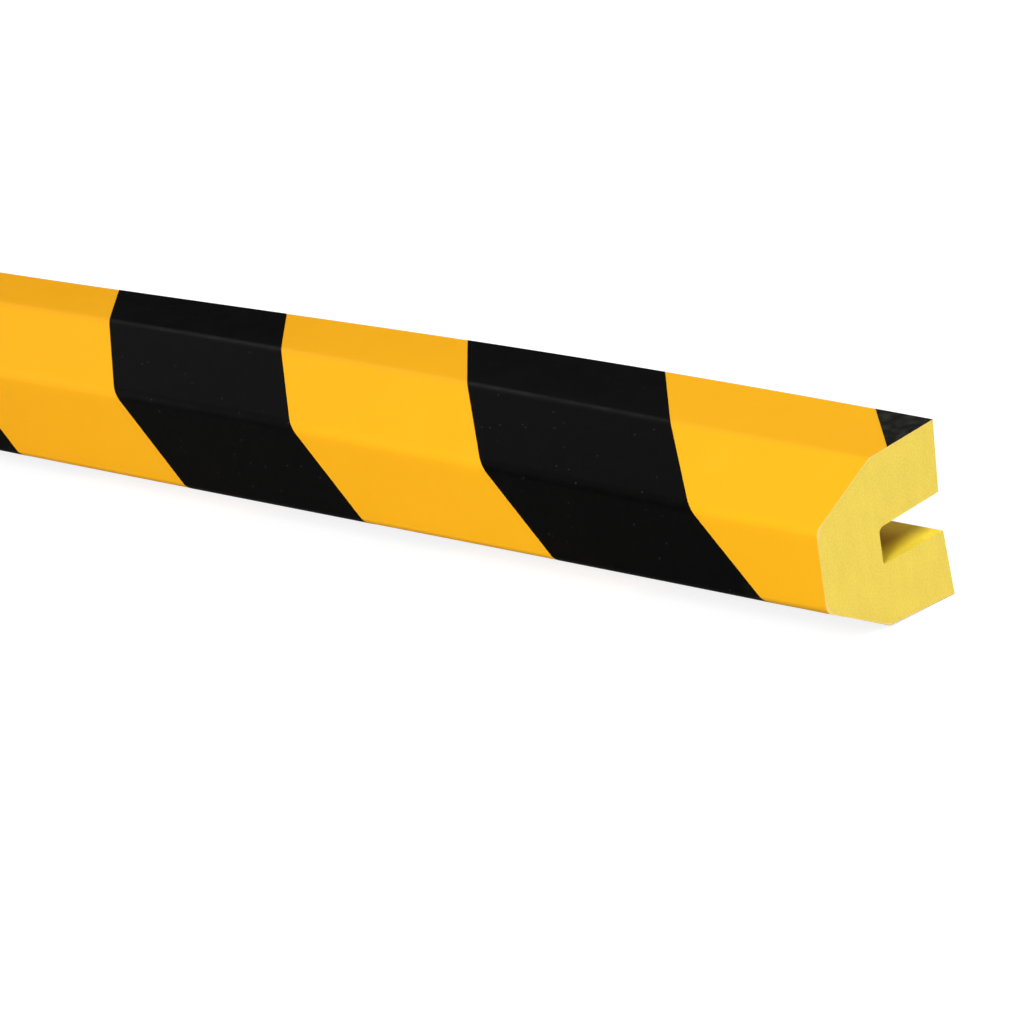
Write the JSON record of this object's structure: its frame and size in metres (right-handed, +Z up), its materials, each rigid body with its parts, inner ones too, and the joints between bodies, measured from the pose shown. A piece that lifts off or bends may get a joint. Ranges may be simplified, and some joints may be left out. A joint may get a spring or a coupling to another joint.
{
  "type": "foam edge protector",
  "caption": "Straight foam bar with a bevelled nose and a slot in its back that pushes over a plate edge, wrapped in film with slanted black and yellow stripes.",
  "frame": {"origin": "on the floor under the middle of the bar's length and depth", "axes": "+X along the bar towards the cut end nearest the camera in the picture, +Y from the nose to the slot's mouth, +Z up"},
  "size_m": [1, 0.04, 0.04],
  "materials": {
    "foam": "matte, fine closed pores",
    "yellow_film": "satin",
    "black_print": "satin"
  },
  "bodies": {
    "root": {"foam_core": "foam", "yellow_film": "yellow_film", "black_stripe_01": "black_print", "black_stripe_02": "black_print", "black_stripe_03": "black_print", "black_stripe_04": "black_print", "black_stripe_05": "black_print", "black_stripe_06": "black_print", "black_stripe_07": "black_print", "black_stripe_08": "black_print", "black_stripe_09": "black_print"}
  },
  "joints": []
}
